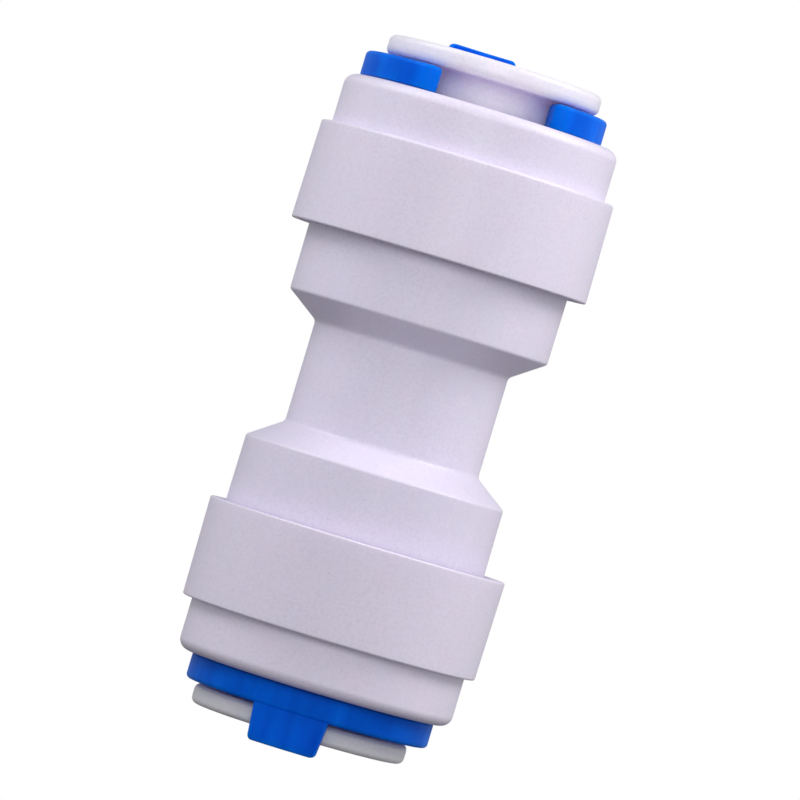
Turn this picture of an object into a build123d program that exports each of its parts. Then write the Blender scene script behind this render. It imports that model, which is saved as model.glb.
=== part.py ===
from build123d import *
import os

# Straight push fit coupling for 6.35 mm (1/4 inch) plastic tube, in millimetres.
# The axis is +Z and the origin is the middle of the body. Both ends are alike: the lower
# one is the upper one turned half a turn about the X axis. Heights are measured from the
# origin out along the axis of the end that a piece belongs to.

# tube and bores
tube_bore_r = 3.30
passage_r = 2.30
tube_stop_height = 1.20
seat_mouth_height = 4.60

# body
waist_r = 5.70
waist_height = 2.98
shoulder_r = 7.60
shoulder_height = 4.32
socket_r = 7.69
socket_height = 13.90
gland_r = 4.90
chamber_r = 6.00
chamber_height = 9.40

# end cap
skirt_height = 8.23
skirt_r = 8.73
skirt_top_r = 8.65
skirt_top_height = 14.04
skirt_bore_r = 7.92
cap_end_r = 8.07
cap_height = 17.03
cap_bore_r = 4.80
cone_foot_height = 14.20
cone_top_height = 15.80
cap_edge_radius = 0.65
lower_cap_offset = 0.18

# collet
collet_height = 19.80
flange_r = 6.28
flange_thickness = 1.15
neck_r = 4.45
head_r = 5.70
finger_height = 12.00
head_top_height = 14.25
neck_foot_height = 15.92
finger_count = 4
slot_width = 0.90
slot_height = 16.40
flange_edge_radius = 0.38

# grip teeth
tooth_tip_r = 3.08
tooth_root_r = 4.90
tooth_height = 12.95
tooth_rise = 0.75
tooth_thickness = 0.32
tooth_arc = 38.0

# locking clip
clip_r = 7.14
clip_bore_r = 4.70
clip_height = 17.08
clip_thickness = 1.45
clip_mouth = 6.65
clip_turn = 7.0
clip_shift = 0.19
clip_edge_radius = 0.28
arm_corner_radius = 0.60
tab_root_width = 4.50
tab_tip_width = 3.94
tab_inner_r = 6.41
tab_outer_r = 7.06
tab_height = 20.60
tab_corner_radius = 0.30

# O-rings, spacer and washer
o_ring_section_r = 0.90
o_ring_r = tooth_tip_r + o_ring_section_r
stack_play = 0.05
spacer_thickness = 0.95
washer_thickness = 1.00

# small edges
fine_edge = 0.12
soft_edge = 0.20
lead_in = 0.30

os.makedirs("parts", exist_ok=True)


def end_plane(side, turn=0.0, offset=0.0):
    """Plane across the axis whose normal points out of the upper end (side 1) or lower end (side -1)."""
    across = Plane(origin=(offset, 0, 0), x_dir=(1, 0, 0), z_dir=(0, 0, side))
    return across.rotated((0, 0, side * turn))


def profile_plane(side, turn=0.0, offset=0.0):
    """Plane through the axis, with the radius along its x and the height along its y."""
    across = end_plane(side, turn, offset)
    return Plane(origin=across.origin, x_dir=across.x_dir, z_dir=-across.y_dir)


def corner(sketch, radius, height):
    """The vertex of a profile nearest to a radius and a height."""
    return sketch.vertices().sort_by_distance((radius, height, 0))[0]


def save(piece, name):
    """Label a finished piece with its node name and write it."""
    piece.part.label = name
    export_step(piece.part, f"parts/{name}.step")


# Body: one moulding with a tube seat, an O-ring gland and a collet chamber in each end, and
# a web in the middle that stops the tubes and holds the flow passage.
with BuildPart() as coupling_body:
    with BuildSketch(Plane.XZ) as body_profile:
        with BuildLine():
            Polyline(
                (passage_r, 0),
                (waist_r, 0),
                (waist_r, waist_height),
                (shoulder_r, shoulder_height),
                (socket_r, socket_height),
                (chamber_r, socket_height),
                (chamber_r, chamber_height),
                (gland_r, chamber_height),
                (gland_r, seat_mouth_height),
                (tube_bore_r, seat_mouth_height),
                (tube_bore_r, tube_stop_height),
                (passage_r, tube_stop_height),
                close=True,
            )
        make_face()
        fillet(corner(body_profile, waist_r, waist_height), soft_edge)
        fillet(corner(body_profile, shoulder_r, shoulder_height), soft_edge)
        fillet(corner(body_profile, socket_r, socket_height), soft_edge)
        chamfer(corner(body_profile, tube_bore_r, seat_mouth_height), lead_in)
        chamfer(corner(body_profile, gland_r, chamber_height), lead_in)
        mirror(about=Plane.XZ)
    revolve(axis=Axis.Z)
save(coupling_body, "coupling_body")

for end, side in (("upper", 1), ("lower", -1)):

    # Cap: a skirt over the body's socket and a narrower end, with the cone that closes the
    # collet's fingers. Its inner step is welded to the socket's end face, and the lower cap
    # sits a little to one side within the skirt's clearance.
    cap_offset = 0.0 if end == "upper" else lower_cap_offset
    with BuildPart() as cap:
        with BuildSketch(profile_plane(side, offset=cap_offset)) as cap_profile:
            with BuildLine():
                Polyline(
                    (skirt_bore_r, skirt_height),
                    (skirt_r, skirt_height),
                    (skirt_top_r, skirt_top_height),
                    (cap_end_r, skirt_top_height),
                    (cap_end_r, cap_height),
                    (cap_bore_r, cap_height),
                    (cap_bore_r, cone_top_height),
                    (chamber_r, cone_foot_height),
                    (chamber_r, socket_height),
                    (skirt_bore_r, socket_height),
                    close=True,
                )
            make_face()
            chamfer(corner(cap_profile, skirt_bore_r, skirt_height), soft_edge)
            fillet(corner(cap_profile, skirt_r, skirt_height), fine_edge)
            fillet(corner(cap_profile, skirt_top_r, skirt_top_height), fine_edge)
            fillet(corner(cap_profile, cap_end_r, skirt_top_height), fine_edge)
            fillet(corner(cap_profile, cap_end_r, cap_height), cap_edge_radius)
            fillet(corner(cap_profile, cap_bore_r, cap_height), soft_edge)
        revolve(axis=Axis((cap_offset, 0, 0), (0, 0, 1)))
    save(cap, f"{end}_cap")

    # Grip teeth: a stainless steel barb in each finger. It leans inwards, so the tube slides
    # in over the tips and can't slide back.
    teeth = []
    for finger in range(finger_count):
        first_edge_turn = 360 / finger_count * finger - tooth_arc / 2
        with BuildPart() as tooth:
            with BuildSketch(profile_plane(side, first_edge_turn)):
                with BuildLine():
                    Polyline(
                        (tooth_tip_r, tooth_height),
                        (tooth_root_r, tooth_height + tooth_rise),
                        (tooth_root_r, tooth_height + tooth_rise + tooth_thickness),
                        (tube_bore_r, tooth_height + tooth_thickness),
                        close=True,
                    )
                make_face()
            revolve(axis=Axis((0, 0, 0), (0, 0, side)), revolution_arc=tooth_arc)
        save(tooth, f"{end}_grip_tooth_{finger + 1}")
        teeth.append(tooth.part)

    # Collet: a flange to press, a neck and sprung fingers with thick heads, each with a
    # pocket for its tooth. The slots between the fingers let them close on the tube.
    with BuildPart() as collet:
        with BuildSketch(profile_plane(side)) as collet_profile:
            with BuildLine():
                Polyline(
                    (tube_bore_r, finger_height),
                    (head_r, finger_height),
                    (head_r, head_top_height),
                    (neck_r, neck_foot_height),
                    (neck_r, collet_height - flange_thickness),
                    (flange_r, collet_height - flange_thickness),
                    (flange_r, collet_height),
                    (tube_bore_r, collet_height),
                    close=True,
                )
            make_face()
            chamfer(corner(collet_profile, tube_bore_r, finger_height), fine_edge)
            chamfer(corner(collet_profile, head_r, finger_height), lead_in)
            fillet(corner(collet_profile, neck_r, collet_height - flange_thickness), soft_edge)
            fillet(corner(collet_profile, flange_r, collet_height - flange_thickness), flange_edge_radius)
            fillet(corner(collet_profile, flange_r, collet_height), flange_edge_radius)
            fillet(corner(collet_profile, tube_bore_r, collet_height), lead_in)
        revolve(axis=Axis.Z)
        with BuildSketch(end_plane(side).offset(finger_height)):
            with PolarLocations(flange_r / 2, finger_count, start_angle=180 / finger_count):
                Rectangle(flange_r, slot_width)
        extrude(amount=slot_height - finger_height, mode=Mode.SUBTRACT)
        add(teeth, mode=Mode.SUBTRACT)
    save(collet, f"{end}_collet")

    # Pull tab of the locking clip: a curved blade that stands along the axis, just outside
    # the flange's rim, and narrows a little towards its tip. Each clip sits a little to one
    # side on its neck, within the play of its bore.
    clip_offset = -side * clip_shift
    with BuildPart() as tab:
        with BuildSketch(end_plane(side, clip_turn, clip_offset).offset(clip_height + clip_thickness / 2)):
            Circle(tab_outer_r)
            Circle(tab_inner_r, mode=Mode.SUBTRACT)
        extrude(amount=tab_height - clip_height - clip_thickness / 2)
        with BuildSketch(profile_plane(side, clip_turn, clip_offset)) as tab_outline:
            with BuildLine():
                Polyline(
                    (-tab_root_width / 2, clip_height),
                    (tab_root_width / 2, clip_height),
                    (tab_tip_width / 2, tab_height),
                    (-tab_tip_width / 2, tab_height),
                    close=True,
                )
            make_face()
            fillet(corner(tab_outline, tab_tip_width / 2, tab_height), tab_corner_radius)
            fillet(corner(tab_outline, -tab_tip_width / 2, tab_height), tab_corner_radius)
        extrude(amount=-clip_r, mode=Mode.INTERSECT)

    # Locking clip: a flat C that snaps round the collet's neck, between the cap and the
    # flange, with its mouth opposite the tab.
    with BuildPart() as clip:
        with BuildSketch(end_plane(side, clip_turn, clip_offset).offset(clip_height)) as clip_outline:
            Circle(clip_r)
            Circle(clip_bore_r, mode=Mode.SUBTRACT)
            with Locations((0, -clip_r / 2)):
                Rectangle(clip_mouth, clip_r, mode=Mode.SUBTRACT)
            arm_corners = clip_outline.vertices().filter_by_position(Axis.Y, -clip_r, -clip_mouth / 4)
            outer_corners = arm_corners.sort_by(Axis.Y)[:2]
            throat_corners = arm_corners.sort_by(Axis.Y)[-2:]
            fillet(outer_corners, arm_corner_radius)
            fillet(throat_corners, lead_in)
        extrude(amount=clip_thickness)
        flange_side_face = clip.faces().sort_by(Axis((0, 0, 0), (0, 0, side)))[-1]
        fillet(flange_side_face.edges(), clip_edge_radius)
        add(tab.part)
    save(clip, f"{end}_locking_clip")

    # O-rings, with a spacer ring between them and a washer that holds them in the gland and
    # stops the collet.
    stack_height = seat_mouth_height + stack_play
    for place in ("inner", "outer"):
        with BuildPart() as o_ring:
            with BuildSketch(profile_plane(side)):
                with Locations((o_ring_r, stack_height + o_ring_section_r)):
                    Circle(o_ring_section_r)
            revolve(axis=Axis.Z)
        save(o_ring, f"{end}_{place}_o_ring")
        stack_height += 2 * o_ring_section_r + stack_play
        if place == "inner":
            with BuildPart() as spacer:
                with BuildSketch(end_plane(side).offset(stack_height)):
                    Circle(gland_r - stack_play)
                    Circle(tube_bore_r, mode=Mode.SUBTRACT)
                extrude(amount=spacer_thickness)
            save(spacer, f"{end}_spacer_ring")
            stack_height += spacer_thickness + stack_play

    with BuildPart() as washer:
        with BuildSketch(end_plane(side).offset(chamber_height)):
            Circle(chamber_r - stack_play)
            Circle(tube_bore_r, mode=Mode.SUBTRACT)
        extrude(amount=washer_thickness)
    save(washer, f"{end}_retaining_washer")
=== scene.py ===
import math

import bmesh
import bpy
from mathutils import Matrix, Vector


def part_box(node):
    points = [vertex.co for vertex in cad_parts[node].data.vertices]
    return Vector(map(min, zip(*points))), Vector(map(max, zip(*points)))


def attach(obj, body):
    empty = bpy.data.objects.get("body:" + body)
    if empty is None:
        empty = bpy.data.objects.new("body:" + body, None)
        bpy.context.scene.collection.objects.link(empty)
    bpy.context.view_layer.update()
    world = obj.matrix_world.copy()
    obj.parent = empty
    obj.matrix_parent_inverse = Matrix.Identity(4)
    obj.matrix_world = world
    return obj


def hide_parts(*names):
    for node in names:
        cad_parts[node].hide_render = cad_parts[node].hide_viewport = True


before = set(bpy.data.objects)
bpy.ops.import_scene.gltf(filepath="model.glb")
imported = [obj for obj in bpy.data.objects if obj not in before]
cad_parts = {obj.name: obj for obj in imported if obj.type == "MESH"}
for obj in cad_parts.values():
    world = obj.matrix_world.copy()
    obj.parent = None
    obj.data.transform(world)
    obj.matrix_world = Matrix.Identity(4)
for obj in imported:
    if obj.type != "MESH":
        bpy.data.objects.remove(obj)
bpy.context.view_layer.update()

MM = 0.001


# ---- Camera ------------------------------------------------------------------------------
# A long lens, level with the coupling and square to its axis. The camera is rolled, so the
# coupling leans over to the right.
camera_roll = math.radians(16.75)
camera_distance = 430 * MM
camera_aim = Vector((0.19 * MM, 0.0, 0.02 * MM))
view_width = 45.45 * MM

camera_data = bpy.data.cameras.new("camera")
camera_data.sensor_width = 36.0
camera_data.lens = camera_data.sensor_width * camera_distance / view_width
camera_data.clip_start = 10 * MM
camera_data.clip_end = 10.0
camera = bpy.data.objects.new("camera", camera_data)
bpy.context.scene.collection.objects.link(camera)
camera_right = Vector((math.cos(camera_roll), 0, math.sin(camera_roll)))
camera_up = Vector((-math.sin(camera_roll), 0, math.cos(camera_roll)))
camera_back = camera_right.cross(camera_up)
turn = Matrix((camera_right, camera_up, camera_back)).transposed()
camera.matrix_world = Matrix.Translation(camera_aim + camera_back * camera_distance) @ turn.to_4x4()
bpy.context.scene.camera = camera
bpy.context.scene.view_settings.view_transform = "Standard"


# ---- Body --------------------------------------------------------------------------------
# The body is one injection moulding in white acetal: a waist, a cone and a socket at each
# end, bored through for the tube and its seals. Its mould parts down both sides, and the
# mark of its gate is on the back of the waist.
class Signal:
    """A shader socket. Arithmetic on it adds Math nodes to its tree."""

    def __init__(self, tree, socket=None):
        self.tree = tree
        self.socket = socket

    def node(self, kind, settings, sockets, output=0):
        """Adds a node, its settings before its sockets' values or links, and gives one output."""
        made = self.tree.nodes.new(kind)
        for name, value in settings.items():
            setattr(made, name, value)
        for name, value in sockets.items():
            if isinstance(value, Signal):
                self.tree.links.new(value.socket, made.inputs[name])
            else:
                made.inputs[name].default_value = value
        return Signal(self.tree, made.outputs[output])

    def other(self, output):
        """Another output of the node that this signal comes from."""
        return Signal(self.tree, self.socket.node.outputs[output])

    def math(self, operation, *values):
        return self.node("ShaderNodeMath", {"operation": operation}, dict(enumerate(values)))

    def __add__(self, other):
        return self.math("ADD", self, other)

    def __radd__(self, other):
        return self.math("ADD", other, self)

    def __sub__(self, other):
        return self.math("SUBTRACT", self, other)

    def __rsub__(self, other):
        return self.math("SUBTRACT", other, self)

    def __mul__(self, other):
        return self.math("MULTIPLY", self, other)

    def __rmul__(self, other):
        return self.math("MULTIPLY", other, self)

    def __pow__(self, power):
        return self.math("POWER", self, power)

    def step(self, low, high):
        """Rises smoothly from 0 at low to 1 at high, or falls where low is above high."""
        settings = {"interpolation_type": "SMOOTHSTEP"}
        sockets = {"Value": self, "From Min": low, "From Max": high}
        return self.node("ShaderNodeMapRange", settings, sockets)

    def mix(self, first, second):
        """The first colour where this signal is 0, and the second where it is 1."""
        sockets = {"Factor": self, "A": first, "B": second}
        return self.node("ShaderNodeMix", {"data_type": "RGBA"}, sockets, 2)

    def stretch(self, x, y, z):
        """This vector with each axis scaled."""
        return self.node("ShaderNodeVectorMath", {"operation": "MULTIPLY"}, {0: self, 1: (x, y, z)})

    def noise(self, scale, detail=2.0):
        """Soft noise from 0 to 1, with this many features to the unit of the vector."""
        return self.node("ShaderNodeTexNoise", {}, {"Vector": self, "Scale": scale, "Detail": detail})

    def feed(self, shader, name):
        self.tree.links.new(self.socket, shader.inputs[name])


def new_material(name):
    """An empty material: itself, its place on the object in millimetres, and its shader."""
    material = bpy.data.materials.new(name)
    material.use_nodes = True
    tree = material.node_tree
    place = Signal(tree).node("ShaderNodeTexCoord", {}, {}, "Object")
    return material, place.stretch(1 / MM, 1 / MM, 1 / MM), tree.nodes["Principled BSDF"]


def acetal(name, tint, clouding=0.03, gloss=0.0, milky=0.25):
    """White acetal: clouded, faintly streaked along its axis, grained by its mould, with a few specks."""
    material, place, shader = new_material(name)
    grain = place.noise(6.0, 3.0)
    fine_grain = place.noise(22.0, 1.0)
    cloud = place.noise(0.35, 3.0)
    streak = place.stretch(0.9, 0.9, 0.12).noise(1.0, 1.0)
    dark = (*[(1 - clouding) * c for c in tint], 1)
    pink = (tint[0] * 1.014, tint[1] * 0.990, tint[2] * 0.984, 1)
    colour = (0.8 * cloud + 0.2 * streak).step(0.38, 0.62).mix((*tint, 1), dark)
    colour = place.noise(0.7, 2.0).step(0.42, 0.68).mix(colour, pink)
    worn = (*[0.93 * c for c in tint], 1)
    colour = (0.8 * grain.step(0.44, 0.64)).mix(colour, worn)
    cells = place.node("ShaderNodeTexVoronoi", {}, {"Vector": place, "Scale": 1.25})
    rare = cells.node("ShaderNodeSeparateColor", {}, {0: cells.other("Color")}).step(0.80, 0.82)
    speck = cells.step(0.085, 0.03) * rare
    colour = (0.28 * speck).mix(colour, (0.25, 0.22, 0.24, 1))
    colour.feed(shader, "Base Color")
    (0.34 - gloss + 0.07 * cloud + 0.07 * grain + 0.03 * streak).feed(shader, "Roughness")
    height = grain * 0.6 + fine_grain * 0.25 + 0.5 * cloud - 0.6 * speck
    bump = height.node("ShaderNodeBump", {}, {"Height": height, "Strength": 0.5, "Distance": 0.014 * MM})
    bump.feed(shader, "Normal")
    shader.inputs["IOR"].default_value = 1.60
    shader.inputs["Subsurface Weight"].default_value = milky
    shader.inputs["Subsurface Radius"].default_value = (1.0, 0.85, 0.9)
    shader.inputs["Subsurface Scale"].default_value = (0.5 + milky) * MM
    return material


def rounded(corners, steps=6):
    """A closed outline through (x, y, radius) corners, each one rounded to its radius."""
    outline = []
    for index, (x, y, radius) in enumerate(corners):
        here = Vector((x, y))
        back = (Vector(corners[index - 1][:2]) - here).normalized()
        ahead = (Vector(corners[(index + 1) % len(corners)][:2]) - here).normalized()
        if radius == 0:
            outline.append(here)
            continue
        half_angle = back.angle(ahead) / 2
        centre = here + (back + ahead).normalized() * radius / math.sin(half_angle)
        first = (here + back * radius / math.tan(half_angle) - centre).normalized()
        last = (here + ahead * radius / math.tan(half_angle) - centre).normalized()
        outline += [centre + radius * first.slerp(last, step / steps) for step in range(steps + 1)]
    return outline


def evenly(count):
    return [math.tau * step / count for step in range(count)]


def turned(outline, azimuths, lift=None):
    """A solid of revolution of a closed (radius, height) outline in mm. lift adds to the radius."""
    shape = bmesh.new()
    rings = []
    for azimuth in azimuths:
        ring = []
        for radius, height in outline:
            reach = (radius + (lift(azimuth, radius, height) if lift else 0)) * MM
            place = (reach * math.cos(azimuth), reach * math.sin(azimuth), height * MM)
            ring.append(shape.verts.new(place))
        rings.append(ring)
    for ring, following in zip(rings, rings[1:] + rings[:1]):
        for index in range(len(outline)):
            shape.faces.new((ring[index - 1], ring[index], following[index], following[index - 1]))
    bmesh.ops.recalc_face_normals(shape, faces=shape.faces)
    return shape


def pin(centre, direction, radius, reach, steps=28):
    """A short round bar about a centre in mm, with reach to each side along its direction."""
    shape = bmesh.new()
    facing = Vector(direction).to_track_quat("Z", "Y").to_matrix().to_4x4()
    bmesh.ops.create_cone(
        shape,
        cap_ends=True,
        segments=steps,
        radius1=radius * MM,
        radius2=radius * MM,
        depth=2 * reach * MM,
        matrix=Matrix.Translation(Vector(centre) * MM) @ facing,
    )
    return shape


def as_object(name, shape):
    mesh = bpy.data.meshes.new(name)
    shape.to_mesh(mesh)
    shape.free()
    return bpy.data.objects.new(name, mesh)


def combined(operation, shape, *tools):
    """A shape with each tool cut from it (DIFFERENCE) or joined to it (UNION)."""
    for tool in tools:
        blank, cutter = as_object("blank", shape), as_object("cutter", tool)
        for item in (blank, cutter):
            bpy.context.scene.collection.objects.link(item)
        step = blank.modifiers.new("combine", "BOOLEAN")
        step.operation = operation
        step.solver = "EXACT"
        step.object = cutter
        result = blank.evaluated_get(bpy.context.evaluated_depsgraph_get())
        shape = bmesh.new()
        shape.from_mesh(result.data)
        for item in (blank, cutter):
            bpy.data.meshes.remove(item.data)
    return shape


def placed(name, shape, material, side=1, crease=32):
    """A finished piece at its end of the coupling: side 1 as made, side -1 turned half about X."""
    if side < 0:
        bmesh.ops.transform(shape, matrix=Matrix.Rotation(math.pi, 4, "X"), verts=shape.verts)
    bmesh.ops.remove_doubles(shape, verts=shape.verts, dist=0.0005 * MM)
    piece = as_object(name, shape)
    bpy.context.scene.collection.objects.link(piece)
    piece.data.shade_smooth()
    piece.data.set_sharp_from_angle(angle=math.radians(crease))
    weigh = piece.modifiers.new("weighted_normals", "WEIGHTED_NORMAL")
    weigh.keep_sharp = True
    piece.data.materials.append(material)
    return piece


body_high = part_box("coupling_body")[1]
socket_r = body_high.x / MM
socket_height = body_high.z / MM
shoulder_r, shoulder_height = 7.60, 4.32
waist_r, waist_height = 5.70, 2.98
chamber_r, chamber_height = 6.00, 9.40
gland_r, seat_mouth_height = 4.90, 4.60
tube_bore_r, tube_stop_height, passage_r = 3.30, 1.20, 2.30
parting_height, parting_width = 0.025, 0.07
parting_end_height = socket_height - 0.30
parting_step = 0.25
gate_disc_r, gate_disc_height = 0.95, 0.05
broken_gate_r, broken_gate_height = 0.42, 0.16

upper_corners = [
    (waist_r, waist_height, 0.40),
    (shoulder_r, shoulder_height, 0.22),
    (socket_r, socket_height, 0.20),
    (chamber_r, socket_height, 0.08),
    (chamber_r, chamber_height, 0),
    (gland_r, chamber_height, 0.25),
    (gland_r, seat_mouth_height, 0),
    (tube_bore_r, seat_mouth_height, 0.25),
    (tube_bore_r, tube_stop_height, 0),
    (passage_r, tube_stop_height, 0.10),
]
lower_corners = [(radius, -height, fillet) for radius, height, fillet in reversed(upper_corners)]


def parting_ridge(azimuth, radius, height):
    """The witness line down both sides, on the outside only."""
    if radius < waist_r - 0.01 or abs(height) >= parting_end_height:
        return 0
    return parting_height * math.exp(-((radius * math.sin(azimuth) / parting_width) ** 2))


beside_parting = [math.radians(sign * parting_step * step) for sign in (-1, 1) for step in range(1, 7)]
body_azimuths = sorted(
    set(evenly(180)) | {(base + near) % math.tau for base in (0, math.pi) for near in beside_parting}
)
body_shape = turned(rounded(upper_corners + lower_corners), body_azimuths, parting_ridge)
gate_disc = pin((0, waist_r, 0), (0, 1, 0), gate_disc_r, gate_disc_height)
broken_gate = pin((0, waist_r, 0), (0, 1, 0), broken_gate_r, broken_gate_height)
body_shape = combined("UNION", body_shape, gate_disc, broken_gate)
body_white = acetal("body_white", (0.812, 0.763, 0.940))
body_piece = placed("moulded_body", body_shape, body_white)
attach(body_piece, "body")
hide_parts("coupling_body")


# ---- End caps ----------------------------------------------------------------------------
# Each end is closed by an acetal cap, pushed over the socket and welded to its end face. A
# cap is a skirt and a narrower end with a broad rounded edge. Its gate and its ejector pins
# have marked the end face, under the clip.
cap_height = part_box("upper_cap")[1].z / MM
skirt_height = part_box("upper_cap")[0].z / MM
skirt_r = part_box("upper_cap")[1].x / MM
skirt_top_r, skirt_top_height = 8.65, 14.04
skirt_bore_r = 7.92
cap_end_r = 8.07
cap_edge_radius = 0.65
cap_bore_r = 4.80
cone_foot_height, cone_top_height = 14.20, 15.80
mark_ring_r = 5.95
ejector_count, ejector_r, ejector_depth = 3, 0.50, 0.04
cap_gate_x, cap_gate_r = 0.3, 0.30
cap_gate_depth, cap_gate_reach = 0.05, 0.06

cap_corners = [
    (skirt_bore_r, skirt_height, 0.14),
    (skirt_r, skirt_height, 0.10),
    (skirt_top_r, skirt_top_height, 0.12),
    (cap_end_r, skirt_top_height, 0.10),
    (cap_end_r, cap_height, cap_edge_radius),
    (cap_bore_r, cap_height, 0.20),
    (cap_bore_r, cone_top_height, 0),
    (chamber_r, cone_foot_height, 0),
    (chamber_r, socket_height, 0.05),
    (skirt_bore_r, socket_height, 0),
]
cap_white = acetal("cap_white", (0.828, 0.776, 0.950), clouding=0.025)
for end, side in (("upper", 1), ("lower", -1)):
    cap_shape = turned(rounded(cap_corners, 8), evenly(192))
    marks = []
    for index in range(ejector_count):
        azimuth = math.tau * (index + 0.4) / ejector_count
        centre = (mark_ring_r * math.cos(azimuth), mark_ring_r * math.sin(azimuth), cap_height)
        marks.append(pin(centre, (0, 0, 1), ejector_r, ejector_depth))
    cap_shape = combined("DIFFERENCE", cap_shape, *marks)
    stub_centre = (cap_gate_x, mark_ring_r, cap_height - cap_gate_depth)
    stub = pin(stub_centre, (0, 0, 1), cap_gate_r, cap_gate_reach, 20)
    cap_shape = combined("UNION", cap_shape, stub)
    cap = placed(f"{end}_end_cap", cap_shape, cap_white, side)
    low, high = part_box(f"{end}_cap")
    cap.data.transform(Matrix.Translation(((low.x + high.x) / 2, 0, 0)))
    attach(cap, "body")
    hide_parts(f"{end}_cap")


# ---- Grip teeth --------------------------------------------------------------------------
# Every finger of a collet has a barb of stainless steel strip moulded into it. It leans
# inwards, and its sheared edge bites into the tube.
finger_count = 4
tooth_tip_r, tooth_root_r = 3.08, 4.90
tooth_rise, tooth_thickness, tooth_arc = 0.75, 0.32, math.radians(38)
sheared_edge = 0.035


def steel():
    """Stainless strip: rolled lines along the strip, and smudged."""
    material, place, shader = new_material("stainless_strip")
    rolled = place.stretch(1.5, 1.5, 40).noise(1.0, 3.0)
    smudge = place.noise(1.8)
    rolled.step(0.3, 0.7).mix((0.60, 0.59, 0.57, 1), (0.70, 0.69, 0.68, 1)).feed(shader, "Base Color")
    (0.20 + 0.16 * rolled + 0.12 * smudge).feed(shader, "Roughness")
    bump = rolled.node("ShaderNodeBump", {}, {"Height": rolled, "Strength": 0.4, "Distance": 0.004 * MM})
    bump.feed(shader, "Normal")
    shader.inputs["Metallic"].default_value = 1.0
    return material


def barb(azimuth, foot):
    """One tooth: its bevelled strip section turned through the tooth's arc."""
    outline = rounded(
        [
            (tooth_tip_r, foot, sheared_edge / 2),
            (tooth_root_r, foot + tooth_rise, sheared_edge),
            (tooth_root_r, foot + tooth_rise + tooth_thickness, sheared_edge),
            (tube_bore_r, foot + tooth_thickness, sheared_edge),
        ],
        3,
    )
    steps = 16
    shape = bmesh.new()
    rings = []
    for step in range(steps + 1):
        angle = azimuth + tooth_arc * (step / steps - 0.5)
        spoke = Vector((math.cos(angle), math.sin(angle), 0))
        ring = [(spoke * radius + Vector((0, 0, height))) * MM for radius, height in outline]
        rings.append([shape.verts.new(place) for place in ring])
    for ring, following in zip(rings, rings[1:]):
        for index in range(len(outline)):
            shape.faces.new((ring[index - 1], ring[index], following[index], following[index - 1]))
    shape.faces.new(rings[0])
    shape.faces.new(rings[-1])
    bmesh.ops.recalc_face_normals(shape, faces=shape.faces)
    return shape


stainless = steel()
tooth_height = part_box("upper_grip_tooth_1")[0].z / MM
for end, side in (("upper", 1), ("lower", -1)):
    for finger in range(finger_count):
        tooth_shape = barb(math.tau * finger / finger_count, tooth_height)
        node_name = f"{end}_grip_tooth_{finger + 1}"
        if side < 0:
            centre = (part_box(node_name)[0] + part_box(node_name)[1]) / 2
            spin = math.atan2(-centre.y, centre.x) - math.tau * finger / finger_count
            bmesh.ops.rotate(tooth_shape, matrix=Matrix.Rotation(spin, 3, "Z"), verts=tooth_shape.verts)
        tooth = placed(f"{end}_barb_{finger + 1}", tooth_shape, stainless, side)
        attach(tooth, f"{end}_collet")
        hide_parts(node_name)


# ---- Collets -----------------------------------------------------------------------------
# The release collet is an acetal moulding: a flange to press on, a neck, and four fingers
# with thick heads that ride up the cap's cone. The two halves of its mould meet round the
# middle of the flange's rim.
flange_low, flange_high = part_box("upper_collet")
collet_height = flange_high.z / MM
finger_height = flange_low.z / MM
flange_r = flange_high.x / MM
flange_thickness = 1.15
neck_r, head_r = 4.45, 5.70
head_top_height, neck_foot_height = 14.25, 15.92
slot_width, slot_height = 0.90, 16.40
slot_root_radius = 0.36
slot_inner_r, slot_overrun = 1.0, 1.0
rim_line, rim_line_half = 0.012, 0.05
rim_middle = collet_height - 0.62 * flange_thickness
collet_gate_r, collet_gate_azimuth = 4.85, math.radians(200)
gate_recess_r, gate_recess_depth = 0.60, 0.06
gate_stub_r, gate_stub_height = 0.22, 0.05

collet_corners = [
    (tube_bore_r, finger_height, 0.10),
    (head_r, finger_height, 0.25),
    (head_r, head_top_height, 0.10),
    (neck_r, neck_foot_height, 0.15),
    (neck_r, collet_height - flange_thickness, 0.22),
    (flange_r, collet_height - flange_thickness, 0.34),
    (flange_r, rim_middle - rim_line_half, 0),
    (flange_r + rim_line, rim_middle, 0),
    (flange_r, rim_middle + rim_line_half, 0),
    (flange_r, collet_height, 0.36),
    (tube_bore_r, collet_height, 0.30),
]


def bevel(shape, edges, offset, segments):
    """Rounds some edges of a shape by an offset in mm."""
    bmesh.ops.bevel(
        shape, geom=edges, offset=offset * MM, segments=segments, affect="EDGES", profile=0.5
    )


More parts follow.
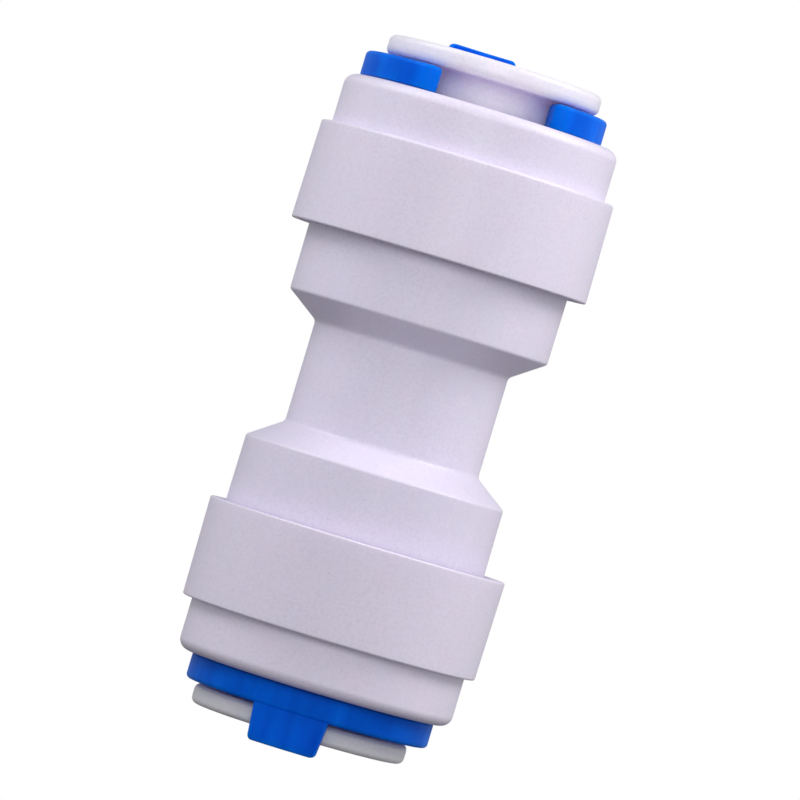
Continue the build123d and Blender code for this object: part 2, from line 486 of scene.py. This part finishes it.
collet_white = acetal("collet_white", (0.84, 0.808, 0.93), clouding=0.025, gloss=0.04, milky=0.9)
for end, side in (("upper", 1), ("lower", -1)):
    collet_shape = turned(rounded(collet_corners, 7), evenly(176))
    slots = []
    for finger in range(finger_count):
        azimuth = math.tau * (finger + 0.5) / finger_count
        slot = bmesh.new()
        length, depth = flange_r, slot_height - finger_height + slot_overrun
        size = Matrix.Diagonal((length * MM, slot_width * MM, depth * MM, 1))
        middle = Vector((length / 2 + slot_inner_r, 0, slot_height - depth / 2)) * MM
        bmesh.ops.create_cube(slot, size=1, matrix=Matrix.Translation(middle) @ size)
        root_edges = [edge for edge in slot.edges if all(v.co.z > middle.z for v in edge.verts)]
        along = [edge for edge in root_edges if abs(edge.verts[0].co.y - edge.verts[1].co.y) < 0.1 * MM]
        bevel(slot, along, slot_root_radius, 5)
        bmesh.ops.rotate(slot, matrix=Matrix.Rotation(azimuth, 3, "Z"), verts=slot.verts)
        slots.append(slot)
    pockets = [barb(math.tau * finger / finger_count, tooth_height) for finger in range(finger_count)]
    collet_shape = combined("DIFFERENCE", collet_shape, *slots, *pockets)
    gate_x = collet_gate_r * math.cos(collet_gate_azimuth)
    gate_y = collet_gate_r * math.sin(collet_gate_azimuth)
    recess = pin((gate_x, gate_y, collet_height), (0, 0, 1), gate_recess_r, gate_recess_depth)
    collet_shape = combined("DIFFERENCE", collet_shape, recess)
    stub_foot = collet_height - gate_recess_depth
    stub = pin((gate_x, gate_y, stub_foot), (0, 0, 1), gate_stub_r, gate_stub_height, 18)
    collet_shape = combined("UNION", collet_shape, stub)
    collet = placed(f"{end}_release_collet", collet_shape, collet_white, side)
    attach(collet, f"{end}_collet")
    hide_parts(f"{end}_collet")


# ---- Locking clips -----------------------------------------------------------------------
# A blue plastic C that snaps round the collet's neck and holds its flange off the cap. It
# is pulled off by its tab, which stands outside the flange's rim.
clip_low, clip_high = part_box("upper_locking_clip")
clip_height = clip_low.z / MM
tab_height = clip_high.z / MM
clip_r = (clip_high.x - clip_low.x) / 2 / MM
clip_bore_r = 4.70
clip_thickness = 1.45
clip_mouth = 6.65
clip_turn = math.radians(7)
outer_edge, cap_edge = 0.26, 0.10
arm_corner, throat_corner = 0.60, 0.30
tab_root_width, tab_tip_width = 4.50, 3.94
tab_inner_r, tab_outer_r = 6.41, 7.06
tab_corner, tab_edge = 0.30, 0.09


def clear_blue():
    """Blue polypropylene: faintly streaked and clouded, with a painted highlight along its edges for
    light shining through them, lightly scuffed.
    """
    material, place, shader = new_material("clip_blue")
    grain = place.noise(7.0, 3.0)
    streak = place.stretch(1.3, 1.3, 0.10).noise(1.0, 2.0)
    cloud = place.noise(0.32, 1.0)
    # edge finds the sharp edges by pointiness, where a highlight is painted.
    edge = place.node("ShaderNodeNewGeometry", {}, {}, "Pointiness").step(0.505, 0.56)
    scuff = place.stretch(0.5, 4.0, 9.0).noise(1.0, 4.0).step(0.66, 0.74)
    colour = streak.step(0.30, 0.80).mix((0.0, 0.112, 0.75, 1), (0.0, 0.158, 0.91, 1))
    colour = (0.6 * cloud.step(0.35, 0.65)).mix(colour, (0.0, 0.070, 0.58, 1))
    # Painted highlight: paler blue along the edges, standing in for light shining through the thin
    # plastic there.
    colour = (0.6 * edge).mix(colour, (0.0, 0.24, 0.86, 1))
    colour = (0.10 * scuff).mix(colour, (0.10, 0.32, 0.85, 1))
    colour.feed(shader, "Base Color")
    (0.30 + 0.10 * cloud + 0.08 * grain + 0.12 * scuff).feed(shader, "Roughness")
    height = 0.5 * grain + 0.12 * streak - 0.3 * scuff
    bump = height.node("ShaderNodeBump", {}, {"Height": height, "Strength": 0.3, "Distance": 0.012 * MM})
    bump.feed(shader, "Normal")
    shader.inputs["Specular IOR Level"].default_value = 0.04
    shader.inputs["Subsurface Weight"].default_value = 0.6
    shader.inputs["Subsurface Radius"].default_value = (0.1, 0.7, 1.0)
    shader.inputs["Subsurface Scale"].default_value = 1.2 * MM
    return material


def swept(centre, radius, first, last, steps):
    """Points along an arc in the plane of the clip, from one angle to another."""
    angles = [first + (last - first) * step / steps for step in range(steps + 1)]
    return [Vector((centre[0] + radius * math.cos(a), centre[1] + radius * math.sin(a))) for a in angles]


def clip_outline():
    """The C, its mouth towards -Y: the outside, an arm's end, the bore and the other arm's end."""
    half_mouth = clip_mouth / 2
    tip_x, throat_x = half_mouth + arm_corner, half_mouth + throat_corner
    tip = (tip_x, -math.sqrt((clip_r - arm_corner) ** 2 - tip_x**2))
    throat = (throat_x, -math.sqrt((clip_bore_r + throat_corner) ** 2 - throat_x**2))
    tip_angle = math.atan2(tip[1], tip[0])
    throat_angle = math.atan2(throat[1], throat[0])
    right = swept((0, 0), clip_bore_r, math.pi / 2, throat_angle, 60)
    right += swept(throat, throat_corner, throat_angle + math.pi, math.pi, 5)
    right += swept(tip, arm_corner, -math.pi, tip_angle, 9)
    right += swept((0, 0), clip_r, tip_angle, math.pi / 2, 72)
    apart = [right[0]]
    for point, earlier in zip(right[1:], right):
        if (point - earlier).length > 1e-4:
            apart.append(point)
    left = [Vector((-point.x, point.y)) for point in reversed(apart[1:-1])]
    return apart + left


def clip_ring():
    """The C as a solid, its edges rounded: broadly on the flange's side, finely on the cap's."""
    shape = bmesh.new()
    foot = [shape.verts.new((x * MM, y * MM, clip_height * MM)) for x, y in clip_outline()]
    raised = bmesh.ops.extrude_face_region(shape, geom=[shape.faces.new(foot)])["geom"]
    top_verts = [item for item in raised if isinstance(item, bmesh.types.BMVert)]
    bmesh.ops.translate(shape, vec=(0, 0, clip_thickness * MM), verts=top_verts)
    bmesh.ops.recalc_face_normals(shape, faces=shape.faces)
    for height, offset in ((clip_height + clip_thickness, outer_edge), (clip_height, cap_edge)):
        rim = [edge for edge in shape.edges if all(abs(v.co.z - height * MM) < 1e-7 for v in edge.verts)]
        bevel(shape, rim, offset, 5)
    return shape


def clip_tab():
    """The tab: its outline cut into strips, thickened, wrapped to the flange's curve and bevelled."""
    root = clip_height + 0.5 * clip_thickness
    outline = rounded(
        [
            (-tab_root_width / 2, root, 0),
            (tab_root_width / 2, root, 0),
            (tab_tip_width / 2, tab_height, tab_corner),
            (-tab_tip_width / 2, tab_height, tab_corner),
        ]
    )
    shape = bmesh.new()
    shape.faces.new([shape.verts.new((x * MM, 0, y * MM)) for x, y in outline])
    strips = 14
    for strip in range(1, strips):
        x = tab_root_width * (strip / strips - 0.5) * MM
        everything = shape.verts[:] + shape.edges[:] + shape.faces[:]
        bmesh.ops.bisect_plane(shape, geom=everything, plane_co=(x, 0, 0), plane_no=(1, 0, 0))
    raised = bmesh.ops.extrude_face_region(shape, geom=shape.faces[:])["geom"]
    outer_verts = {item for item in raised if isinstance(item, bmesh.types.BMVert)}
    for vert in shape.verts:
        reach = (tab_outer_r if vert in outer_verts else tab_inner_r) * MM
        vert.co.y = math.sqrt(reach**2 - vert.co.x**2)
    bmesh.ops.recalc_face_normals(shape, faces=shape.faces)
    rim = [edge for edge in shape.edges if edge.calc_face_angle(0) > math.radians(50)]
    bevel(shape, rim, tab_edge, 3)
    return shape


blue_plastic = clear_blue()
for end, side in (("upper", 1), ("lower", -1)):
    clip_shape = combined("UNION", clip_ring(), clip_tab())
    bmesh.ops.rotate(clip_shape, matrix=Matrix.Rotation(clip_turn, 3, "Z"), verts=clip_shape.verts)
    clip = placed(f"{end}_clip_moulding", clip_shape, blue_plastic, side)
    low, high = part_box(f"{end}_locking_clip")
    clip.data.transform(Matrix.Translation(((low.x + high.x) / 2, 0, 0)))
    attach(clip, f"{end}_clip")
    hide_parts(f"{end}_locking_clip")


# ---- O-rings -----------------------------------------------------------------------------
# Two nitrile O-rings in each end seal on the tube. They are moulded in two halves, which
# leaves a fine flash line round the inside and the outside, and they are greased.
o_ring_section_r = (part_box("upper_inner_o_ring")[1].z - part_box("upper_inner_o_ring")[0].z) / 2 / MM
o_ring_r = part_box("upper_inner_o_ring")[1].x / MM - o_ring_section_r
flash_height, flash_width = 0.018, 0.09


def greased_rubber():
    """Black nitrile rubber with a thin, uneven film of grease."""
    material, place, shader = new_material("nitrile_rubber")
    grease = place.noise(0.9, 3.0).step(0.40, 0.62)
    bloom = place.noise(9.0, 4.0)
    (0.6 * bloom).mix((0.012, 0.012, 0.014, 1), (0.035, 0.035, 0.038, 1)).feed(shader, "Base Color")
    (0.52 - 0.26 * grease + 0.08 * bloom).feed(shader, "Roughness")
    (0.5 * grease).feed(shader, "Coat Weight")
    bump = bloom.node("ShaderNodeBump", {}, {"Height": bloom, "Strength": 0.3, "Distance": 0.01 * MM})
    bump.feed(shader, "Normal")
    return material


rubber = greased_rubber()
section = []
for angle in evenly(48):
    flash = flash_height * math.exp(-((o_ring_section_r * math.sin(angle) / flash_width) ** 2))
    reach = o_ring_section_r - flash_height + flash
    section.append((o_ring_r + reach * math.cos(angle), reach * math.sin(angle)))
for end, side in (("upper", 1), ("lower", -1)):
    for place_name in ("inner", "outer"):
        low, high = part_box(f"{end}_{place_name}_o_ring")
        ring_height = abs(low.z + high.z) / 2 / MM
        seal_shape = turned([(radius, ring_height + rise) for radius, rise in section], evenly(144))
        seal = placed(f"{end}_{place_name}_seal", seal_shape, rubber, side)
        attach(seal, "body")
        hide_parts(f"{end}_{place_name}_o_ring")


# ---- Spacer rings and washers ------------------------------------------------------------
# A loose acetal ring parts the two O-rings, and a wider one rests on the gland's mouth and
# keeps them in. Both are turned from bar, so fine tool lines run round them.
def turned_acetal():
    """Acetal cut on a lathe: concentric tool lines."""
    material, place, shader = new_material("turned_acetal")
    reach = place.node("ShaderNodeVectorMath", {"operation": "LENGTH"}, {0: place}, "Value")
    wobble = place.noise(1.2)
    turn_of_tool = 42 * reach + 2.5 * wobble
    lines = turn_of_tool.math("SINE", turn_of_tool)
    wobble.step(0.35, 0.65).mix((0.80, 0.78, 0.80, 1), (0.74, 0.72, 0.74, 1)).feed(shader, "Base Color")
    (0.42 + 0.04 * lines + 0.08 * wobble).feed(shader, "Roughness")
    bump = lines.node("ShaderNodeBump", {}, {"Height": lines, "Strength": 0.3, "Distance": 0.004 * MM})
    bump.feed(shader, "Normal")
    return material


ring_white = turned_acetal()
ring_edge = 0.10
for end, side in (("upper", 1), ("lower", -1)):
    for node_name in (f"{end}_spacer_ring", f"{end}_retaining_washer"):
        low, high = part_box(node_name)
        outer_r = high.x / MM
        foot, top = sorted((abs(low.z) / MM, abs(high.z) / MM))
        ring_corners = [
            (tube_bore_r, foot, ring_edge),
            (outer_r, foot, ring_edge),
            (outer_r, top, ring_edge),
            (tube_bore_r, top, ring_edge),
        ]
        ring_shape = turned(rounded(ring_corners, 3), evenly(144))
        ring = placed(f"{node_name}_turned", ring_shape, ring_white, side)
        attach(ring, "body")
        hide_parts(node_name)


# ---- Floor -------------------------------------------------------------------------------
# A pale round table below the coupling. It fades out at its rim, and from below it is clear.
floor_height = -45 * MM
floor_r = 190 * MM

floor_shape = bmesh.new()
bmesh.ops.create_circle(
    floor_shape,
    cap_ends=True,
    segments=96,
    radius=floor_r,
    matrix=Matrix.Translation((0, 0, floor_height)),
)
floor = as_object("floor", floor_shape)
bpy.context.scene.collection.objects.link(floor)
floor_material, floor_place, floor_shader = new_material("pale_table")
mottle = floor_place.noise(0.08, 3.0)
mottle.step(0.3, 0.7).mix((0.93, 0.93, 0.94, 1), (0.90, 0.90, 0.915, 1)).feed(floor_shader, "Base Color")
(0.62 + 0.12 * floor_place.noise(0.8, 3.0)).feed(floor_shader, "Roughness")
from_middle = floor_place.stretch(1, 1, 0)
from_middle = from_middle.node("ShaderNodeVectorMath", {"operation": "LENGTH"}, {0: from_middle}, "Value")
from_below = from_middle.node("ShaderNodeNewGeometry", {}, {}, "Backfacing")
fade = from_middle.step(floor_r / MM, 0.45 * floor_r / MM) * (1 - from_below)
fade.feed(floor_shader, "Alpha")
floor.data.materials.append(floor_material)
floor.visible_diffuse = False
floor.visible_glossy = False
floor.visible_transmission = False


# ---- Light -------------------------------------------------------------------------------
# A soft tent, brightest at both sides and dim below, in front of a white backdrop. Three
# small softboxes stand in front and to both sides, above the upper end.
world = bpy.data.worlds.new("studio")
bpy.context.scene.world = world
world.use_nodes = True
studio = Signal(world.node_tree)
background = world.node_tree.nodes["Background"]
direction = studio.node("ShaderNodeTexCoord", {}, {}, "Generated")
x = studio.node("ShaderNodeSeparateXYZ", {}, {"Vector": direction}, "X")
y, z = x.other("Y"), x.other("Z")
right = x.math("MAXIMUM", x, 0) ** 2
left = (-1 * x).math("MAXIMUM", -1 * x, 0) ** 2
front = (-1 * y).math("MAXIMUM", -1 * y, 0) ** 2
behind = y.math("MAXIMUM", y, 0) ** 2
sides = 0.75 * right + 0.66 * left + 0.53 * front + 0.35 * behind
glow = sides * (1 - 0.9 * (-1 * z).math("MAXIMUM", -1 * z, 0)) + 0.02 * z.math("MAXIMUM", z, 0)
seen = studio.node("ShaderNodeLightPath", {}, {}, "Is Camera Ray")
(seen + glow * (1 - seen)).feed(background, "Strength")
background.inputs["Color"].default_value = (1, 1, 1, 1)

softboxes = {
    "softbox_front": ((0, -120, 50), 60, 0.044, (1.0, 1.0, 1.0)),
    "softbox_right": ((110, -20, 120), 90, 0.150, (1.0, 0.99, 0.975)),
    "softbox_left": ((-110, -20, 120), 90, 0.101, (0.985, 0.99, 1.0)),
}
for name, (place_mm, size_mm, power, colour) in softboxes.items():
    softbox_data = bpy.data.lights.new(name, "AREA")
    softbox_data.size = size_mm * MM
    softbox_data.energy = power
    softbox_data.color = colour
    softbox = bpy.data.objects.new(name, softbox_data)
    bpy.context.scene.collection.objects.link(softbox)
    softbox.location = Vector(place_mm) * MM
    softbox.rotation_mode = "QUATERNION"
    softbox.rotation_quaternion = (-softbox.location).to_track_quat("-Z", "Y")
    softbox.visible_camera = False
